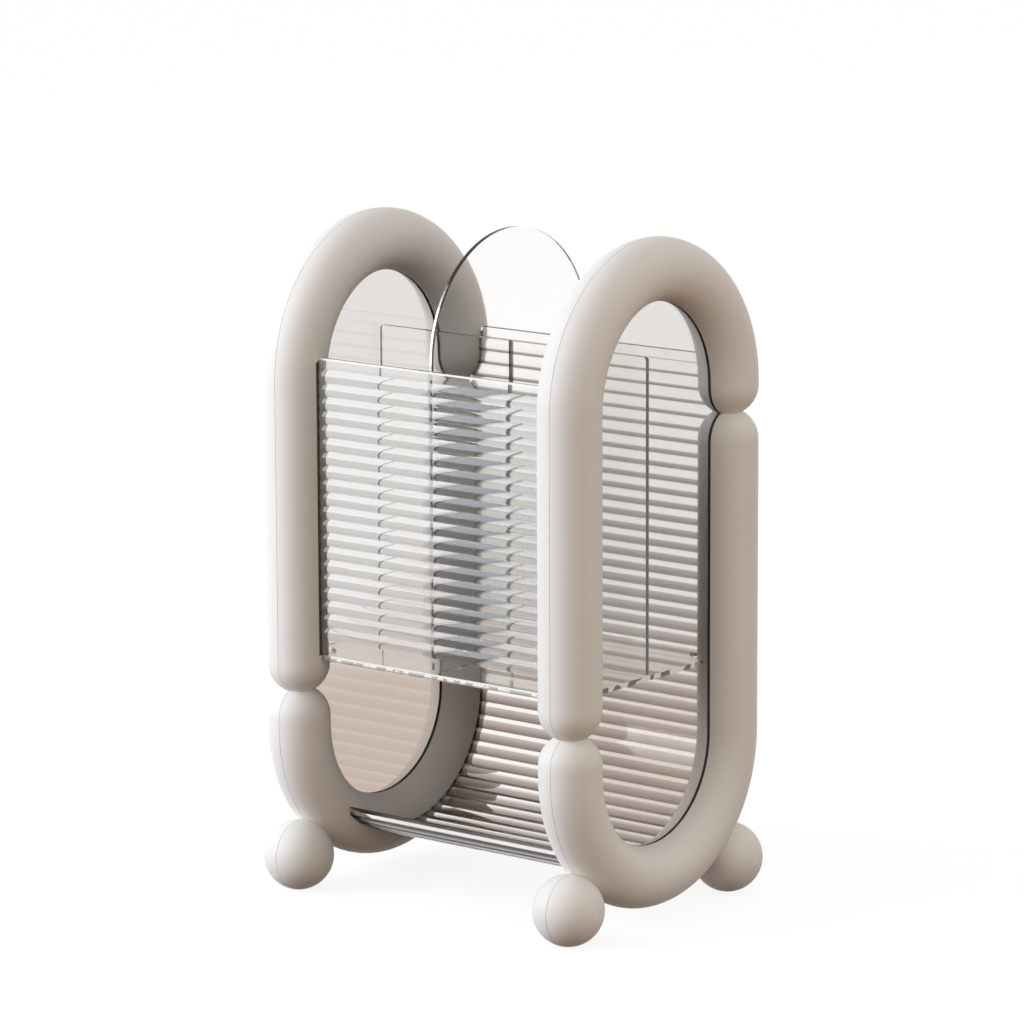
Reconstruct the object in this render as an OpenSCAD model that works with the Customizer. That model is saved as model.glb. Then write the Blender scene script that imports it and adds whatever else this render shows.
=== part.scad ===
// Makeup organiser: two balloon-like loops on ball feet carry a clear ribbed bin
// with a curved tray under it. Millimetres. The origin is on the ground at the
// centre of the object, +Z is up, +X runs from the left loop to the right loop
// and -Y is the open front.

/* [Loops] */
// Outside diameter of the tube that each loop is bent from
tube_d = 26; // [23:0.5:29]
// Distance between the front and back legs of a loop, centre to centre
leg_spacing = 104.6; // [96:0.2:116]
// Height between the centres of a loop's bottom and top bends
leg_h = 145.6; // [130:0.2:170]
// Distance between the left and right loops, centre to centre
loop_spacing = 143.6; // [120:0.2:170]
// Wall thickness of the moulded half shells
shell_wall = 2; // [1.6:0.1:2.4]
// Width of the shadow line where the two half shells meet
seam_gap = 0.2; // [0.1:0.05:0.4]
// Radius of the neck that is left at each pinch
neck_r = 6.3; // [5:0.1:7.5]
// Straight length between the bottom bend and the round end below the front pinch
front_stub = 3.6; // [1:0.1:8]
// Straight length between the top bend and the round end above the back pinch
back_stub = 1.2; // [0.6:0.1:6]

/* [Ball feet] */
// Diameter of a ball foot
ball_d = 29.5; // [27:0.5:31]
// How far a ball sinks into the outside of the bend
ball_sink = 2.4; // [2:0.1:3]
// Angle of a ball from straight below the bottom bend's centre
ball_angle = 43.8; // [38:0.1:50]
// Depth of the small flat that a ball stands on
foot_flat = 0.4; // [0.2:0.05:1]

/* [Shell pegs] */
// Diameter of a locating peg
peg_d = 3; // [2:0.1:4]
// Length of a peg past the seam
peg_l = 5; // [3:0.5:7]
// Depth of a socket past the end of its peg
socket_room = 1; // [0.5:0.1:2]
// Thickness of the boss round a peg's socket
boss_wall = 1.5; // [1:0.1:2]

/* [Ribbed sheets] */
// Thickness of the sheet under its ribs
sheet_t = 1.7; // [1.3:0.1:2.2]
// Height of a rib above the sheet
rib_h = 0.8; // [0.5:0.05:1.1]
// Height of the valleys between ribs above the sheet
valley = 0.05; // [0.02:0.01:0.2]
// Distance from one rib to the next
rib_pitch = 5.68; // [5:0.02:6.4]
// Plain margin between a sheet's free edge and its first rib
rib_margin = 4.4; // [3:0.1:8]
// Least plain margin under the front panel's last rib
foot_margin = 7; // [3:0.5:10]
// Angle of the tray's front edge from straight below the bend's centre
tray_angle = 43.8; // [30:0.1:55]
// How far a sheet's end reaches into a shell
tongue_in = 5; // [3:0.1:5.5]
// Height of the shoulder at the corners of an end that reaches into a shell
tongue_shoulder = 2; // [1.6:0.1:4]
// Radius of the sheets' visible corners
corner_r = 1.5; // [0.8:0.1:2.5]

/* [Bin] */
// Height of the bin's underside above the centre of the bottom bend
bin_lift = 29; // [22:0.5:40]
// Height of the front panel
bin_h = 127; // [100:1:140]
// Thickness of the shelf, the mid wall and the divider
flat_t = 2; // [1.5:0.1:2.5]
// Thickness of the clear plate that closes a loop
side_plate_t = 2.4; // [1.6:0.1:3]
// How far the clear plate of a loop reaches into the tube
plate_in = 7; // [5.5:0.1:8]
// Gap round a leg where the shelf runs on into a loop
shelf_gap = 3.2; // [1:0.1:4]
// How far the shelf's ears reach into the shells
shelf_in = 3; // [2.5:0.1:4]
// Width of an ear
shelf_ear = 6; // [4:0.5:8]
// Height of the mid wall above the shelf
mid_wall_h = 131; // [100:1:140]
// Gap between an end of the mid wall and the clear plate beside it
wall_gap = 1.2; // [0.5:0.1:2]
// Height of the divider's straight edges above the shelf
divider_edge_h = 127; // [100:1:140]
// Length of the tabs under the mid wall and the divider
tab_l = 16; // [10:1:20]
// Distance of a mid wall tab's centre from the middle
wall_tab_x = 38; // [25:1:50]
// Distance of a divider tab's centre from the middle
divider_tab_y = 26; // [18:1:34]

/* [Fits] */
// Clearance round tongues, tabs and edges that are fixed when assembled
seat_fit = 0.1; // [0.05:0.05:0.2]
// Air gap under the mid wall and the divider where they stand on the shelf
stand_gap = 0.05; // [0.02:0.01:0.1]
// Clearance on each side of the divider where it slides
slide_fit = 0.2; // [0.1:0.05:0.4]
// Gap between the divider's upright edges and the panels
divider_gap = 0.5; // [0.3:0.1:1]
// Radial clearance of a peg in its socket
peg_fit = 0.05; // [0.02:0.01:0.1]

/* [Hidden] */
$fn = 64;
e = 0.01;
tube_r = tube_d / 2;
bend_r = leg_spacing / 2;
half_w = loop_spacing / 2;
ball_r = ball_d / 2;
cap_off = sqrt(tube_r ^ 2 - neck_r ^ 2);
ball_reach = bend_r + tube_r + ball_r - ball_sink;
ball_y = ball_reach * sin(ball_angle);
bend_z = ball_reach * cos(ball_angle) + ball_r - foot_flat;
plate_r = bend_r - tube_r + plate_in;
boss_r = peg_d / 2 + peg_fit + boss_wall;
socket_l = peg_l + socket_room;
tongue_x = half_w - tube_r + tongue_in;
seen_x = half_w - tube_r - seat_fit;
inner_face = bend_r - sheet_t / 2;
outer_face = bend_r + sheet_t / 2;
shelf_y = inner_face - seat_fit;
bin_top = bin_lift + bin_h;
shelf_top = bin_lift + flat_t;
rib_top = bin_top - rib_margin;
tray_turn = 90 + tray_angle;
stand_z = shelf_top + stand_gap;
plate_face = half_w - side_plate_t / 2 - seat_fit;
wall_x = plate_face - wall_gap;
lap_z = stand_z + mid_wall_h / 2;
divider_r = inner_face - divider_gap;
far = 2 * (leg_h + leg_spacing + loop_spacing);
front_ribs = floor((bin_h - rib_margin - foot_margin) / rib_pitch);
back_ribs = round(rib_top / rib_pitch);
// Turn at which the ribs round the tray start and end. The back panel's column of
// whole ribs stops a little past the start of the bend, or a little short of it.
bend_start = asin((back_ribs * rib_pitch - rib_top) / bend_r);
bend_end = tray_turn - asin(rib_margin / bend_r);
tray_ribs = round((bend_end - bend_start) * PI / 180 * bend_r / rib_pitch);
// Heights of the pegs in the front and back legs, as shares of the leg, and the
// directions of the pegs in the bends
front_peg_shares = [0.36, 0.82];
back_peg_shares = [0.16, 0.62];
top_peg_angles = [50, 130];
bottom_peg_angle = -90;
// Places of the pegs along a loop, across and up from the bottom bend's centre
front_pegs = [for (share = front_peg_shares) [-bend_r, share * leg_h]];
back_pegs = [for (share = back_peg_shares) [bend_r, share * leg_h]];
top_pegs = [for (a = top_peg_angles) [bend_r * cos(a), leg_h + bend_r * sin(a)]];
bottom_peg = [bend_r * cos(bottom_peg_angle), bend_r * sin(bottom_peg_angle)];
loop_pegs = concat(front_pegs, back_pegs, top_pegs, [bottom_peg]);
ball_pegs = [for (s = [-1, 1]) [s * ball_y, -ball_reach * cos(ball_angle)]];

shell_color = [0.93, 0.91, 0.88];
clear_color = [0.9, 0.88, 0.86, 0.35];

// Stands a flat drawing up: its x becomes Y, its y becomes Z above the bottom
// bend's centre, and its thickness runs along X.
module stand_up() {
    translate([0, 0, bend_z]) rotate([90, 0, 90]) children();
}

// One straight limb with a round end, drawn upwards from the origin
module limb(r, length) {
    rotate([-90, 0, 0]) rotate_extrude() {
        square([r, length]);
        translate([0, length]) intersection() {
            circle(r);
            square(r);
        }
    }
}

// A half ring of round tube, drawn above the origin
module half_ring(r) {
    rotate_extrude(angle = 180) translate([bend_r, 0]) circle(r);
}

// The whole pinched loop and its two balls, made smaller all round by inset
module loop_body(inset) {
    r = tube_r - inset;
    front_long = leg_h - front_stub - 2 * cap_off;
    back_long = leg_h - back_stub - 2 * cap_off;
    rotate([0, 0, 180]) half_ring(r);
    translate([0, leg_h, 0]) half_ring(r);
    translate([-bend_r, 0, 0]) limb(r, front_stub);
    translate([-bend_r, leg_h, 0]) rotate([0, 0, 180]) limb(r, front_long);
    translate([bend_r, 0, 0]) limb(r, back_long);
    translate([bend_r, leg_h, 0]) rotate([0, 0, 180]) limb(r, back_stub);
    for (p = ball_pegs) translate(p) sphere(ball_r - inset);
}

// Flat stadium inside the loop's centreline
module stadium(r) {
    translate([-r, 0]) square([2 * r, leg_h]);
    translate([0, leg_h]) intersection() {
        circle(r);
        translate([-r, 0]) square([2 * r, r]);
    }
    intersection() {
        circle(r);
        translate([-r, -r]) square([2 * r, r]);
    }
}

// Bosses from a shell's wall up to the seam, on the +Z side of the drawing
module bosses() {
    for (p = loop_pegs) translate(p) cylinder(r = boss_r, h = tube_r - shell_wall / 2);
    for (p = ball_pegs) translate(p) cylinder(r = boss_r, h = ball_r - shell_wall / 2);
}

// Half of a hollow loop on the +Z side of the drawing, with the plate's seat cut in.
// Its bosses reach the seam, and its rim stops short of it by half the shadow line.
module half_loop() {
    difference() {
        union() {
            difference() {
                loop_body(0);
                loop_body(shell_wall);
                translate([-far / 2, -far / 2, seam_gap / 2 - far]) cube(far);
            }
            bosses();
        }
        translate([0, 0, -e]) linear_extrude(side_plate_t / 2 + seat_fit + e) stadium(plate_r + seat_fit);
        translate([-far / 2, -bend_z - far, -far / 2]) cube(far);
    }
}

// Slots for the ends of the front panel and the back panel, wide enough for their ribs
module tongue_slots() {
    slot_t = sheet_t + rib_h + 2 * seat_fit;
    slot_in = inner_face - seat_fit;
    slot_z = tube_r - tongue_in - 2 * seat_fit;
    front_low = bin_lift + tongue_shoulder - seat_fit;
    top = bin_top - tongue_shoulder + seat_fit;
    translate([-slot_in - slot_t, front_low, slot_z]) cube([slot_t, top - front_low, tube_r]);
    translate([slot_in, 0, slot_z]) cube([slot_t, top, tube_r]);
    turn = tray_turn - asin((tongue_shoulder - seat_fit) / bend_r);
    rotate_extrude(angle = -turn) translate([slot_in, slot_z]) square([slot_t, tube_r]);
}

// Half shell on the outside of a loop, with pegs that stand across the seam
module outer_shell() {
    color(shell_color) translate([half_w, 0, 0]) stand_up() {
        half_loop();
        for (p = concat(loop_pegs, ball_pegs)) translate([p.x, p.y, -peg_l])
            cylinder(d = peg_d, h = peg_l + shell_wall);
    }
}

// Outline of the shelf without its slots, made larger all round by a fit. It runs
// clear of the legs, and four ears beside the panels reach into the shells.
module shelf_outline(fit) {
    difference() {
        square([2 * (plate_face + fit), 2 * (shelf_y + fit)], center = true);
        for (x = [-half_w, half_w], y = [-bend_r, bend_r]) translate([x, y])
            circle(tube_r + shelf_gap - fit);
    }
    ear_x = half_w - tube_r + shelf_in + fit;
    for (y = [-shelf_y - fit, shelf_y - shelf_ear - fit]) translate([-ear_x, y])
        square([2 * ear_x, shelf_ear + 2 * fit]);
}

// Half shell on the inside of a loop, with sockets for the pegs and slots for
// the two panels and the shelf
module inner_shell() {
    color(shell_color) difference() {
        translate([half_w, 0, 0]) stand_up() mirror([0, 0, 1]) difference() {
            half_loop();
            tongue_slots();
            for (p = concat(loop_pegs, ball_pegs)) translate([p.x, p.y, -e])
                cylinder(d = peg_d + 2 * peg_fit, h = socket_l + e);
        }
        translate([0, 0, bend_z + bin_lift - seat_fit]) linear_extrude(flat_t + 2 * seat_fit)
            shelf_outline(seat_fit);
    }
}

module side_plate() {
    color(clear_color) translate([half_w - side_plate_t / 2, 0, 0]) stand_up()
        linear_extrude(side_plate_t) stadium(plate_r);
}

// Cross-section of one rib: the sheet's face is the y axis and the crown points to +x
module rib(crown_r) {
    intersection() {
        translate([rib_h - crown_r, 0]) circle(crown_r);
        translate([-sheet_t / 2, -crown_r]) square([sheet_t / 2 + rib_h, 2 * crown_r]);
    }
}

// A column of ribs that stands on the y axis, counted down from the highest
module rib_column(count) {
    rise = rib_h - valley;
    crown_r = ((rib_pitch / 2) ^ 2 + rise ^ 2) / (2 * rise);
    for (i = [0 : count - 1]) translate([0, rib_top - (i + 0.5) * rib_pitch]) rib(crown_r);
}

// Ribs round the outside of the tray, from the back of the bend towards the front
module rib_bend() {
    step = (bend_end - bend_start) / tray_ribs;
    crown = outer_face + rib_h;
    dip = outer_face + valley;
    crown_r = (crown ^ 2 + dip ^ 2 - 2 * crown * dip * cos(step / 2)) / (2 * (crown - dip * cos(step / 2)));
    for (i = [0 : tray_ribs - 1]) rotate(-bend_start - (i + 0.5) * step)
        translate([outer_face, 0]) rib(crown_r);
}

// Cuts one upper side corner: a shoulder beside the tongue and a small round
// where the sheet shows. The sheet's top is at z = 0 and its visible end at x = 0.
module corner_cut() {
    translate([0, far / 2, 0]) rotate([90, 0, 0]) linear_extrude(far) {
        translate([0, -tongue_shoulder]) square([tube_r, tongue_shoulder + e]);
        difference() {
            translate([-corner_r, -corner_r]) square(corner_r + e);
            translate([-corner_r, -corner_r]) circle(corner_r);
        }
    }
}

module both_sides() {
    for (s = [0, 1]) mirror([s, 0, 0]) children();
}

module front_panel() {
    color(clear_color) difference() {
        translate([-tongue_x, 0, 0]) stand_up() linear_extrude(2 * tongue_x) {
            translate([-outer_face, bin_lift]) square([sheet_t, bin_h]);
            translate([-outer_face, 0]) mirror([1, 0]) rib_column(front_ribs);
        }
        both_sides() translate([seen_x, 0, bend_z + bin_top]) corner_cut();
        both_sides() translate([seen_x, 0, bend_z + bin_lift]) mirror([0, 0, 1]) corner_cut();
    }
}

module back_panel() {
    color(clear_color) difference() {
        translate([-tongue_x, 0, 0]) stand_up() {
            linear_extrude(2 * tongue_x) {
                translate([inner_face, 0]) square([sheet_t, bin_top]);
                translate([outer_face, 0]) rib_column(back_ribs);
                rib_bend();
            }
            rotate_extrude(angle = -tray_turn) translate([inner_face, 0]) square([sheet_t, 2 * tongue_x]);
        }
        both_sides() translate([seen_x, 0, bend_z + bin_top]) corner_cut();
        both_sides() translate([seen_x, 0, 0]) stand_up() rotate([0, 0, -tray_turn])
            translate([0, -tube_r, 0]) cube([far, tube_r + tongue_shoulder, tube_r]);
    }
}

// Slot through the shelf for a tab of the given length
module tab_slot(length, fit) {
    translate([-length / 2 - fit, -flat_t / 2 - fit]) square([length + 2 * fit, flat_t + 2 * fit]);
}

module shelf() {
    color(clear_color) translate([0, 0, bend_z + bin_lift]) linear_extrude(flat_t) difference() {
        shelf_outline(0);
        for (x = [-wall_tab_x, wall_tab_x]) translate([x, 0]) tab_slot(tab_l, seat_fit);
        for (y = [-divider_tab_y, divider_tab_y]) translate([0, y]) rotate(90) tab_slot(tab_l, slide_fit);
    }
}

module mid_wall() {
    lap_w = flat_t + 2 * slide_fit;
    color(clear_color) difference() {
        translate([0, flat_t / 2, bend_z]) rotate([90, 0, 0]) linear_extrude(flat_t) difference() {
            union() {
                translate([-wall_x, stand_z]) square([2 * wall_x, mid_wall_h]);
                for (x = [-wall_tab_x, wall_tab_x]) translate([x - tab_l / 2, bin_lift])
                    square([tab_l, flat_t + stand_gap + e]);
            }
            translate([-lap_w / 2, lap_z]) square([lap_w, mid_wall_h]);
        }
        both_sides() translate([wall_x, 0, bend_z + stand_z + mid_wall_h]) corner_cut();
    }
}

module centre_divider() {
    lap_w = flat_t + 2 * slide_fit;
    arch_z = stand_z + divider_edge_h;
    color(clear_color) translate([-flat_t / 2, 0, 0]) stand_up() linear_extrude(flat_t) difference() {
        union() {
            translate([-divider_r, stand_z]) square([2 * divider_r, divider_edge_h]);
            translate([0, arch_z]) intersection() {
                circle(divider_r);
                translate([-divider_r, 0]) square([2 * divider_r, divider_r]);
            }
            for (y = [-divider_tab_y, divider_tab_y]) translate([y - tab_l / 2, bin_lift])
                square([tab_l, flat_t + stand_gap + e]);
        }
        translate([-lap_w / 2, 0]) square([lap_w, lap_z + slide_fit]);
    }
}

mirror([1, 0, 0]) outer_shell();  // left_outer_shell
mirror([1, 0, 0]) inner_shell();  // left_inner_shell
mirror([1, 0, 0]) side_plate();  // left_side_plate
outer_shell();  // right_outer_shell
inner_shell();  // right_inner_shell
side_plate();  // right_side_plate
front_panel();
back_panel();
shelf();
mid_wall();
centre_divider();
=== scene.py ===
from math import asin, cos, radians, sin

import bpy
from mathutils import Matrix, Vector


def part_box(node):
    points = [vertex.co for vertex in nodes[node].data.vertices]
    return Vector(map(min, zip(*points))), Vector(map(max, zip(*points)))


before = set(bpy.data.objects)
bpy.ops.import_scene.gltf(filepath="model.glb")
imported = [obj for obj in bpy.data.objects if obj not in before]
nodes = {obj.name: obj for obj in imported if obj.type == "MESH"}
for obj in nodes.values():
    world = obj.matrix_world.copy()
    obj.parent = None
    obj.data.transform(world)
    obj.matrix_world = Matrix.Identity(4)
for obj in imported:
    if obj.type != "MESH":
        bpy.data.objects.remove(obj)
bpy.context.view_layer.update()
scene = bpy.context.scene
print("frame loaded:", len(nodes), "nodes")

# places that several pieces share, in metres
plateLow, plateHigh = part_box("right_side_plate")
plateMiddle = (plateLow.x + plateHigh.x) / 2
bendHeight = plateLow.z + plateHigh.y       # centre of the loops' bottom bends
topBendHeight = plateHigh.z - plateHigh.y
loopRadius = 0.0523                         # from a bend's centre to the middle of the tube
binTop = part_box("front_panel")[1].z
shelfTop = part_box("shelf")[1].z


def newMaterial(name):
    material = bpy.data.materials.new(name)
    material.use_nodes = True
    tree = material.node_tree
    tree.nodes.clear()
    output = tree.nodes.new("ShaderNodeOutputMaterial")
    shader = tree.nodes.new("ShaderNodeBsdfPrincipled")
    tree.links.new(shader.outputs["BSDF"], output.inputs["Surface"])
    return material, tree, shader


def calc(tree, operation, *values):
    node = tree.nodes.new("ShaderNodeMath")
    node.operation = operation
    for socket, value in zip(node.inputs, values):
        if isinstance(value, (int, float)):
            socket.default_value = value
        else:
            tree.links.new(value, socket)
    return node.outputs[0]


def remap(tree, source, low, high, outLow=0.0, outHigh=1.0, smooth=False):
    spread = tree.nodes.new("ShaderNodeMapRange")
    spread.interpolation_type = "SMOOTHSTEP" if smooth else "LINEAR"
    for name, value in (("From Min", low), ("From Max", high), ("To Min", outLow), ("To Max", outHigh)):
        if isinstance(value, (int, float)):
            spread.inputs[name].default_value = value
        else:
            tree.links.new(value, spread.inputs[name])
    tree.links.new(source, spread.inputs["Value"])
    return spread.outputs["Result"]


def blendColors(tree, amount, a, b, mode="MIX"):
    mix = tree.nodes.new("ShaderNodeMix")
    mix.data_type = "RGBA"
    mix.blend_type = mode
    if isinstance(amount, (int, float)):
        mix.inputs["Factor"].default_value = amount
    else:
        tree.links.new(amount, mix.inputs["Factor"])
    colorInputs = [socket for socket in mix.inputs if socket.type == "RGBA"]
    for socket, value in zip(colorInputs, (a, b)):
        if isinstance(value, tuple):
            socket.default_value = (*value, 1)
        else:
            tree.links.new(value, socket)
    return next(socket for socket in mix.outputs if socket.type == "RGBA")


def noise(tree, scale, detail):
    coords = tree.nodes.new("ShaderNodeTexCoord")
    cloud = tree.nodes.new("ShaderNodeTexNoise")
    cloud.inputs["Scale"].default_value = scale
    cloud.inputs["Detail"].default_value = detail
    tree.links.new(coords.outputs["Object"], cloud.inputs["Vector"])
    return cloud.outputs["Fac"]


def splitAxes(tree, vector):
    split = tree.nodes.new("ShaderNodeSeparateXYZ")
    tree.links.new(vector, split.inputs["Vector"])
    return split.outputs["X"], split.outputs["Y"], split.outputs["Z"]


def place(tree):
    return splitAxes(tree, tree.nodes.new("ShaderNodeTexCoord").outputs["Object"])


def facing(tree):
    return splitAxes(tree, tree.nodes.new("ShaderNodeNewGeometry").outputs["True Normal"])


def addBump(tree, shader, source, strength, distance):
    bumps = tree.nodes.new("ShaderNodeBump")
    bumps.inputs["Strength"].default_value = strength
    bumps.inputs["Distance"].default_value = distance
    tree.links.new(source, bumps.inputs["Height"])
    tree.links.new(bumps.outputs["Normal"], shader.inputs["Normal"])


cloudRange = (0.3, 0.7)     # the part of a noise's range that its values mostly fall in

creamPlastic = {
    "light": (0.875, 0.86, 0.835),
    "dark": (0.85, 0.833, 0.805),
    "mottleScale": 14.0,
    "mottleDetail": 3.0,
    "roughness": (0.42, 0.50),
    "ior": 1.5,
    "specular": 0.14,
    "grainScale": 1500.0,
    "grainDetail": 2.0,
    "grainStrength": 0.3,
    "grainDepth": 0.00002,
    "slotShadeColor": (0.50, 0.46, 0.42),        # painted shade that the parting line and the pinches fall off to
    "slotReach": 0.00035,
    "seatShadeColor": (0.02, 0.012, 0.006),      # painted dark shade beside the side plates, which sit deeper
    "seatReach": 0.0016,
    "seatWidth": (0.0015, 0.003),
    "creaseRange": (0.12, 0.5),
    "creaseSamples": 6,
}


def outerSide(tree):
    # 1 on the half of a tube that faces away from the loop's opening
    y, z = place(tree)[1:]
    below = calc(tree, "SUBTRACT", bendHeight, z)
    above = calc(tree, "SUBTRACT", z, topBendHeight)
    past = calc(tree, "MAXIMUM", calc(tree, "MAXIMUM", below, above), 0.0)
    squares = calc(tree, "ADD", calc(tree, "MULTIPLY", y, y), calc(tree, "MULTIPLY", past, past))
    return calc(tree, "GREATER_THAN", calc(tree, "SQRT", squares), loopRadius)


def makeCreamPlastic(s):
    material, tree, shader = newMaterial("creamPlastic")
    mottle = noise(tree, s["mottleScale"], s["mottleDetail"])
    color = blendColors(tree, remap(tree, mottle, *cloudRange), s["dark"], s["light"])
    # painted shade: ambient occlusion darkens the parting line, the pinches and the plates' seats in the
    # base colour
    crease = tree.nodes.new("ShaderNodeAmbientOcclusion")
    crease.samples = s["creaseSamples"]
    fromCentre = calc(tree, "ABSOLUTE", place(tree)[0])
    beside = calc(tree, "ABSOLUTE", calc(tree, "SUBTRACT", fromCentre, plateMiddle))
    awayFromSeat = calc(tree, "MAXIMUM", remap(tree, beside, *s["seatWidth"]), outerSide(tree))
    reach = remap(tree, awayFromSeat, 0.0, 1.0, s["seatReach"], s["slotReach"])
    deepShade = blendColors(tree, awayFromSeat, s["seatShadeColor"], s["slotShadeColor"])
    tree.links.new(reach, crease.inputs["Distance"])
    openness = remap(tree, crease.outputs["AO"], *s["creaseRange"], smooth=True)
    tree.links.new(blendColors(tree, openness, deepShade, color), shader.inputs["Base Color"])
    tree.links.new(remap(tree, mottle, *cloudRange, *s["roughness"]), shader.inputs["Roughness"])
    grain = noise(tree, s["grainScale"], s["grainDetail"])
    addBump(tree, shader, grain, s["grainStrength"], s["grainDepth"])
    shader.inputs["IOR"].default_value = s["ior"]
    shader.inputs["Specular IOR Level"].default_value = s["specular"]
    return material


creamFinish = makeCreamPlastic(creamPlastic)


clearSheet = {
    "topTint": (0.97, 0.965, 0.955),
    "footTintAndShade": (0.93, 0.89, 0.86),         # painted shade: the sheets are tinted darker and warmer near the tray
    "footHeight": 0.075,
    "topHeight": 0.125,
    "edgeLow": (0.92, 0.91, 0.89),          # a cut edge gets a painted highlight along one side of its thickness
    "edgeHigh": (0.05, 0.04, 0.03),         # and a painted dark line along the other
    "edgeShine": (0.3, 0.0),
    "edgeSplit": 0.5,
    "edgeSoft": 0.15,
    "edgeClear": 0.1,
    "edgeRange": (0.3, 0.6),
    "edgeDepth": 0.0002,
    "crownRange": None,
    "breakScale": None,
    "dashScale": None,
    "dashDetail": 0.0,
    "dashRange": (0.5, 0.54),
    "endLight": 0.7,
    "specular": 0.5,
    "ior": 1.49,
    "waveScale": 30.0,
    "waveDetail": 1.0,
    "waveStrength": 0.2,
    "waveDepth": 0.00005,
    "roughness": (0.0, 0.02),
}

# the side plates' and the mid wall's cut edges are painted dark all across
sidePlate = dict(clearSheet, topTint=(0.75, 0.725, 0.71), specular=0.1,
                 edgeLow=(0.05, 0.04, 0.03), edgeShine=(0.0, 0.0))
leftPlate = dict(sidePlate, footTintAndShade=(0.58, 0.48, 0.42), material="leftPlateAcrylic")
rightPlate = dict(sidePlate, footTintAndShade=(0.73, 0.65, 0.60), material="rightPlateAcrylic")
divider = dict(clearSheet, edgeSplit=0.45, crownRange=(0.5, 0.65), breakScale=300.0, specular=0.1,
               material="dividerAcrylic")
midWall = dict(clearSheet, edgeLow=(0.05, 0.04, 0.03), edgeShine=(0.0, 0.0), specular=0.3,
               material="midWallAcrylic")
# the shelf's cut edges: painted dark line on the low side, painted highlight with metal shine on the high
# side
shelf = dict(clearSheet, edgeLow=(0.05, 0.04, 0.03), edgeHigh=(0.92, 0.91, 0.89), edgeShine=(0.0, 1.0),
             dashScale=230.0, sideDashScale=140.0, material="shelfAcrylic")


# the sheet's own tint, with painted warm shade mixed in towards the foot
def sheetTint(tree, s, z):
    height = remap(tree, z, s["footHeight"], s["topHeight"], smooth=True)
    return blendColors(tree, height, s["footTintAndShade"], s["topTint"])


def finishClear(tree, shader, s, tint, edge, stripe):
    wave = noise(tree, s["waveScale"], s["waveDetail"])
    # painted highlight and painted dark line on the cut edges, which let little light through; where
    # edgeShine is set, the painted light side is metallic and mirrors the backdrop
    tint = blendColors(tree, edge, tint, blendColors(tree, stripe, s["edgeLow"], s["edgeHigh"]))
    tree.links.new(remap(tree, edge, 0.0, 1.0, 1.0, s["edgeClear"]), shader.inputs["Transmission Weight"])
    if any(s["edgeShine"]):
        shine = calc(tree, "MULTIPLY", edge, remap(tree, stripe, 0.0, 1.0, *s["edgeShine"]))
        tree.links.new(shine, shader.inputs["Metallic"])
    tree.links.new(tint, shader.inputs["Base Color"])
    tree.links.new(remap(tree, wave, *cloudRange, *s["roughness"]), shader.inputs["Roughness"])
    addBump(tree, shader, wave, s["waveStrength"], s["waveDepth"])
    shader.inputs["IOR"].default_value = s["ior"]
    shader.inputs["Specular IOR Level"].default_value = s["specular"]


def cutEdge(tree, s, axis):
    # 1 on the narrow faces of a sheet whose thickness runs along the axis
    across = facing(tree)["XYZ".index(axis)]
    return remap(tree, calc(tree, "ABSOLUTE", across), *s["edgeRange"], 1.0, 0.0)


def edgeStripe(tree, s, name, axis):
    # 0 on the low side of the sheet's thickness, 1 on its high side
    low, high = (corner["XYZ".index(axis)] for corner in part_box(name))
    split = low + (high - low) * s["edgeSplit"]
    soft = (high - low) * s["edgeSoft"]
    stripe = remap(tree, place(tree)["XYZ".index(axis)], split - soft, split + soft, smooth=True)
    if s["crownRange"]:     # the painted dark line covers the whole edge where the arch turns upwards
        stripe = calc(tree, "MAXIMUM", stripe, remap(tree, facing(tree)[2], *s["crownRange"]))
    if s["breakScale"]:     # behind the ribs the painted dark line breaks up
        gaps = remap(tree, noise(tree, s["breakScale"], s["dashDetail"]), *s["dashRange"])
        kept = calc(tree, "MAXIMUM", gaps, calc(tree, "GREATER_THAN", place(tree)[2], binTop))
        stripe = calc(tree, "MULTIPLY", stripe, kept)
    if not s["dashScale"]:
        return stripe
    # painted highlights and painted dark dashes along the shelf's cut edges; its front-facing ends are
    # painted lighter
    dashes = remap(tree, noise(tree, s["dashScale"], s["dashDetail"]), *s["dashRange"])
    sideDashes = remap(tree, noise(tree, s["sideDashScale"], s["dashDetail"]), *s["dashRange"])
    turnX, turnY = (calc(tree, "ABSOLUTE", turn) for turn in facing(tree)[:2])
    frontLight = remap(tree, turnY, *s["edgeRange"], 0.0, s["endLight"])
    front = calc(tree, "MAXIMUM", stripe, calc(tree, "MAXIMUM", dashes, frontLight))
    return remap(tree, turnX, *s["edgeRange"], front, sideDashes)


def makeFlatSheet(name, s, axis):
    material, tree, shader = newMaterial(s["material"])
    z = place(tree)[2]
    tint = sheetTint(tree, s, z)
    finishClear(tree, shader, s, tint, cutEdge(tree, s, axis), edgeStripe(tree, s, name, axis))
    return material


ribs = {
    "pitch": 0.00568,
    "margin": 0.0044,                   # plain sheet above the highest rib
    "frontCount": 20,
    "backCount": 27,                    # ribs down to the start of the bend
    "trayCount": 20,
    "trayTurn": radians(133.8),         # from the back of the bend to the tray's front edge
}

# each rib gets a painted light upper part and a painted shaded band that grows wider from the bin's top to
# its floor
frontBands = {
    "narrow": 0.10,
    "wide": 0.50,
    "soft": 0.15,
    "rise": 0.08,
    "lightColor": (0.89, 0.89, 0.89),
    "color": (0.88, 0.875, 0.87),
    "lowShadeColor": (0.82, 0.81, 0.80),
    "lowBlend": 0.03,
    "valleyShadeColor": (0.82, 0.81, 0.80),
}

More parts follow.
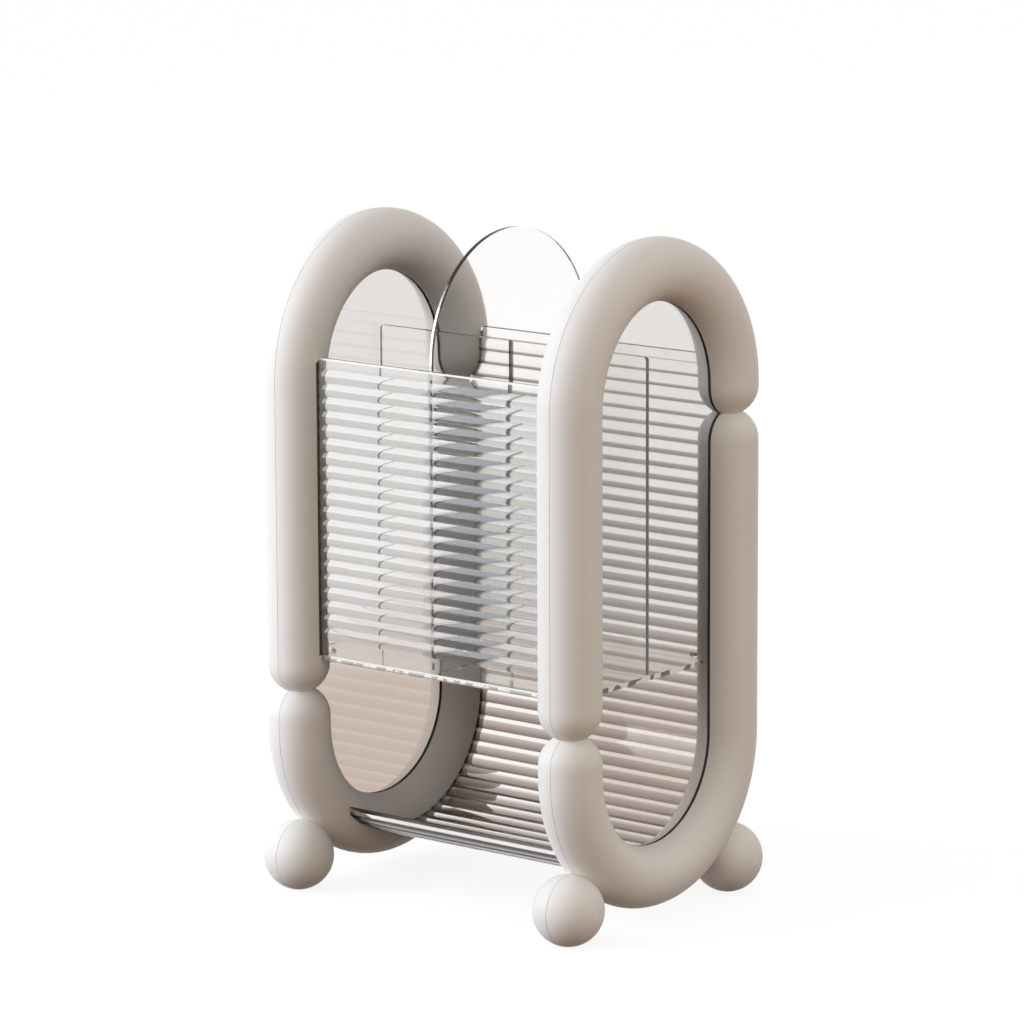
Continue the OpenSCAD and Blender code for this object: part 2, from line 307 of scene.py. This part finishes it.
backBands = {
    "narrow": 0.07,
    "wide": 0.62,
    "soft": 0.1,
    "rise": 0.06,
    "lightColor": (1.0, 1.0, 1.0),
    "color": (0.42, 0.375, 0.35),
    "lowShadeColor": (0.56, 0.505, 0.475),
    "lowBlend": 0.03,
    "valleyShadeColor": (0.20, 0.17, 0.15),
    "underRange": (-0.012, -0.020),     # from here on forwards the tray's ribs show their outer faces
    "glintRise": (0.42, 0.5),           # the part of a rib that gets a painted highlight there
    "glintFall": (0.68, 0.78),
    "lip": (0.1, 0.7),                  # painted highlight along the tray's front edge, in ribs past the last one
    "lipLight": 0.9,
    "glintGap": (0.07, 0.055, 0.05),    # painted dark shade between the painted bright lines
}

frontSheet = dict(clearSheet, topTint=(0.93, 0.925, 0.915), footTintAndShade=(0.94, 0.93, 0.915), specular=0.18,
                  edgeSplit=0.5, edgeDepth=0.0008, material="frontRibbedAcrylic")
backSheet = dict(clearSheet, footTintAndShade=(0.97, 0.95, 0.93), specular=0.2, edgeShine=(1.0, 0.0),
                 material="backRibbedAcrylic")


def countDown(tree, y, z, onTray):
    # how many ribs lie above a point: whole numbers are the valleys
    ribTop = binTop - ribs["margin"]
    straight = calc(tree, "DIVIDE", calc(tree, "SUBTRACT", ribTop, z), ribs["pitch"])
    if not onTray:
        return straight
    hang = ribs["backCount"] * ribs["pitch"] - (ribTop - bendHeight)
    bendStart = asin(hang / loopRadius)
    bendEnd = ribs["trayTurn"] - asin(ribs["margin"] / loopRadius)
    step = (bendEnd - bendStart) / ribs["trayCount"]
    angle = calc(tree, "ARCTAN2", calc(tree, "SUBTRACT", bendHeight, z), y)
    turned = calc(tree, "DIVIDE", calc(tree, "SUBTRACT", angle, bendStart), step)
    low = calc(tree, "LESS_THAN", z, bendHeight - hang)
    bent = calc(tree, "MULTIPLY", calc(tree, "ADD", turned, ribs["backCount"]), low)
    upright = calc(tree, "MULTIPLY", straight, calc(tree, "SUBTRACT", 1.0, low))
    return calc(tree, "ADD", bent, upright)


# painted light and shade across each rib: a painted dark line in the valley and a painted shaded band below
# the lit upper part
def bandShade(tree, b, down, count, z):
    part = calc(tree, "FRACT", down)
    width = remap(tree, z, shelfTop, binTop, b["wide"], b["narrow"])
    start = calc(tree, "SUBTRACT", 1.0, width)
    fall = remap(tree, part, calc(tree, "SUBTRACT", start, b["soft"]), start, smooth=True)
    deepShade = remap(tree, part, start, 1.0)
    rise = remap(tree, part, 0.0, b["rise"], 1.0, 0.0, smooth=True)
    color = blendColors(tree, remap(tree, z, shelfTop, shelfTop + b["lowBlend"]), b["lowShadeColor"], b["color"])
    shade = blendColors(tree, fall, b["lightColor"], color)
    shade = blendColors(tree, calc(tree, "MAXIMUM", deepShade, rise), shade, b["valleyShadeColor"])
    belowTop = calc(tree, "GREATER_THAN", down, 0.0)
    ribbed = calc(tree, "MULTIPLY", belowTop, calc(tree, "LESS_THAN", down, count))
    return blendColors(tree, ribbed, (1.0, 1.0, 1.0), shade)


# painted highlights on the tray's front ribs, with painted dark shade between them
def trayGlint(tree, b, down, count, y, shade):
    part = calc(tree, "FRACT", down)
    rise = remap(tree, part, *b["glintRise"], smooth=True)
    fall = remap(tree, part, *b["glintFall"], 1.0, 0.0, smooth=True)
    glint = blendColors(tree, calc(tree, "MULTIPLY", rise, fall), b["glintGap"], b["lightColor"])
    under = calc(tree, "MULTIPLY", remap(tree, y, *b["underRange"]), calc(tree, "LESS_THAN", down, count))
    return blendColors(tree, under, shade, glint)


# painted highlight: the tray's front edge is marked as a bright cut edge
def trayLip(tree, b, down, count):
    low, high = (count + part for part in b["lip"])
    lip = calc(tree, "MULTIPLY", calc(tree, "GREATER_THAN", down, low), calc(tree, "LESS_THAN", down, high))
    return calc(tree, "MULTIPLY", lip, b["lipLight"])


def makeRibbedSheet(name, s, b, count, onTray):
    material, tree, shader = newMaterial(s["material"])
    y, z = place(tree)[1:]
    down = countDown(tree, y, z, onTray)
    shade = bandShade(tree, b, down, count, z)
    if onTray:
        shade = trayGlint(tree, b, down, count, y, shade)
    tint = blendColors(tree, 1.0, sheetTint(tree, s, z), shade, "MULTIPLY")
    edge = calc(tree, "GREATER_THAN", z, binTop - s["edgeDepth"])
    edge = calc(tree, "MAXIMUM", edge, trayLip(tree, b, down, count) if onTray else cutEdge(tree, s, "Y"))
    finishClear(tree, shader, s, tint, edge, edgeStripe(tree, s, name, "Y"))
    return material


finishOf = {name: creamFinish for name in nodes if name.endswith("shell")}
finishOf["left_side_plate"] = makeFlatSheet("left_side_plate", leftPlate, "X")
finishOf["right_side_plate"] = makeFlatSheet("right_side_plate", rightPlate, "X")
finishOf["centre_divider"] = makeFlatSheet("centre_divider", divider, "X")
finishOf["mid_wall"] = makeFlatSheet("mid_wall", midWall, "Y")
finishOf["shelf"] = makeFlatSheet("shelf", shelf, "Z")
finishOf["front_panel"] = makeRibbedSheet("front_panel", frontSheet, frontBands, ribs["frontCount"], False)
finishOf["back_panel"] = makeRibbedSheet(
    "back_panel", backSheet, backBands, ribs["backCount"] + ribs["trayCount"], True)

for name, node in nodes.items():
    node.data.materials.clear()
    node.data.materials.append(finishOf[name])

# light that reaches the inside through these sheets isn't dimmed
for name in ("mid_wall", "shelf"):
    nodes[name].visible_shadow = False
print("finishes set")

studio = {
    "floorSize": 12.0,
    "floorGlow": 0.87,
    "floorLit": 0.22,
    "floorBounce": (0.15, 0.055, 0.0),
    "horizonGlow": (0.20, 0.105, 0.02),     # the room's soft light, from the horizon up
    "sideGlow": (0.76, 0.725, 0.69),
    "zenithGlow": (0.46, 0.44, 0.42),
    "sideHeight": 0.35,
}


def backdropRay(tree):
    path = tree.nodes.new("ShaderNodeLightPath")
    seen = calc(tree, "MAXIMUM", path.outputs["Is Camera Ray"], path.outputs["Is Glossy Ray"])
    seen = calc(tree, "MAXIMUM", seen, path.outputs["Is Transmission Ray"])
    # light that a matt surface gathers through a clear sheet is the room's, not the backdrop's
    return calc(tree, "MULTIPLY", seen, calc(tree, "LESS_THAN", path.outputs["Diffuse Depth"], 0.5))


def makeFloor(s):
    material = bpy.data.materials.new("studioFloor")
    material.use_nodes = True
    tree = material.node_tree
    tree.nodes.clear()
    output = tree.nodes.new("ShaderNodeOutputMaterial")
    glow = tree.nodes.new("ShaderNodeEmission")
    glow.inputs["Strength"].default_value = s["floorGlow"]
    lit = tree.nodes.new("ShaderNodeBsdfDiffuse")
    lit.inputs["Color"].default_value = (s["floorLit"], s["floorLit"], s["floorLit"], 1)
    look = tree.nodes.new("ShaderNodeAddShader")
    tree.links.new(glow.outputs[0], look.inputs[0])
    tree.links.new(lit.outputs[0], look.inputs[1])
    bounce = tree.nodes.new("ShaderNodeBsdfDiffuse")
    bounce.inputs["Color"].default_value = (*s["floorBounce"], 1)
    pick = tree.nodes.new("ShaderNodeMixShader")
    tree.links.new(backdropRay(tree), pick.inputs["Fac"])
    tree.links.new(bounce.outputs[0], pick.inputs[1])
    tree.links.new(look.outputs[0], pick.inputs[2])
    tree.links.new(pick.outputs[0], output.inputs["Surface"])
    half = s["floorSize"] / 2
    mesh = bpy.data.meshes.new("floor")
    corners = [(-half, -half, 0), (half, -half, 0), (half, half, 0), (-half, half, 0)]
    mesh.from_pydata(corners, [], [(0, 1, 2, 3)])
    floor = bpy.data.objects.new("floor", mesh)
    scene.collection.objects.link(floor)
    floor.data.materials.append(material)


def makeWorld(s):
    world = bpy.data.worlds.new("studio")
    world.use_nodes = True
    scene.world = world
    tree = world.node_tree
    tree.nodes.clear()
    output = tree.nodes.new("ShaderNodeOutputWorld")
    soft = tree.nodes.new("ShaderNodeBackground")
    height = splitAxes(tree, tree.nodes.new("ShaderNodeTexCoord").outputs["Generated"])[2]
    low = blendColors(tree, remap(tree, height, 0.0, s["sideHeight"]), s["horizonGlow"], s["sideGlow"])
    glow = blendColors(tree, remap(tree, height, s["sideHeight"], 1.0), low, s["zenithGlow"])
    tree.links.new(glow, soft.inputs["Color"])
    white = tree.nodes.new("ShaderNodeBackground")
    white.inputs["Color"].default_value = (1, 1, 1, 1)
    pick = tree.nodes.new("ShaderNodeMixShader")
    tree.links.new(backdropRay(tree), pick.inputs["Fac"])
    tree.links.new(soft.outputs[0], pick.inputs[1])
    tree.links.new(white.outputs[0], pick.inputs[2])
    tree.links.new(pick.outputs[0], output.inputs["Surface"])


makeFloor(studio)
makeWorld(studio)

lampAim = Vector((0, 0, (plateLow.z + plateHigh.z) / 2))
lampSettings = {
    "key": {
        "azimuth": -42, "elevation": 13, "distance": 1.5,
        "size": 1.15, "power": 24.6, "color": (0.80, 0.89, 1.0),
    },
    "fill": {
        "azimuth": 64, "elevation": 10, "distance": 1.6,
        "size": 1.0, "power": 2.8, "color": (1.0, 0.90, 0.79),
    },
    "side": {
        "azimuth": 108, "elevation": 10, "distance": 1.6,
        "size": 1.0, "power": 2.4, "color": (1.0, 0.96, 0.92),
    },
}


def addLamp(name, s, aim):
    data = bpy.data.lights.new(name, "AREA")
    data.size = s["size"]
    data.energy = s["power"]
    data.color = s["color"]
    lamp = bpy.data.objects.new(name, data)
    a, e = radians(s["azimuth"]), radians(s["elevation"])
    away = Vector((sin(a) * cos(e), -cos(a) * cos(e), sin(e)))
    lamp.location = aim + away * s["distance"]
    lamp.rotation_euler = (-away).to_track_quat("-Z", "Y").to_euler()
    lamp.visible_transmission = False
    scene.collection.objects.link(lamp)


for name, s in lampSettings.items():
    addLamp(name, s, lampAim)
print("floor, room light and lamps set")

view = {
    "azimuth": 38.85,       # degrees to the right of the open front
    "elevation": 13.396,
    "distance": 2.1839,
    "aimRight": 0.00024,    # where the lens points, across and up from the bottom bend's centre
    "aimUp": 0.08867,
    "roll": -0.244,
    "focalPixels": 5240.6,
    "framePixels": 1024,
    "sensorWidth": 36,
    "nearest": 0.05,
    "farthest": 30,
}


def addCamera(s):
    a, e = radians(s["azimuth"]), radians(s["elevation"])
    away = Vector((sin(a) * cos(e), -cos(a) * cos(e), sin(e)))
    across = Vector((cos(a), sin(a), 0))
    up = away.cross(across)
    centre = Vector((0, 0, bendHeight))
    lens = centre + away * s["distance"]
    forward = (centre + across * s["aimRight"] + up * s["aimUp"] - lens).normalized()
    right = forward.cross(Vector((0, 0, 1))).normalized()
    top = right.cross(forward)
    r = radians(s["roll"])
    tiltedRight = right * cos(r) + top * sin(r)
    tiltedTop = top * cos(r) - right * sin(r)
    data = bpy.data.cameras.new("camera")
    data.sensor_width = s["sensorWidth"]
    data.lens = s["focalPixels"] / s["framePixels"] * data.sensor_width
    data.clip_start = s["nearest"]
    data.clip_end = s["farthest"]
    camera = bpy.data.objects.new("camera", data)
    turn = Matrix((tiltedRight, tiltedTop, -forward)).transposed().to_4x4()
    camera.matrix_world = Matrix.Translation(lens) @ turn
    scene.collection.objects.link(camera)
    scene.camera = camera


addCamera(view)
scene.view_settings.view_transform = "Standard"
clearBounces = 32       # enough for the sheets that stand behind one another
glossBounces = 8
scene.cycles.max_bounces = clearBounces
scene.cycles.transmission_bounces = clearBounces
scene.cycles.transparent_max_bounces = clearBounces
scene.cycles.glossy_bounces = glossBounces
print("studio ready")
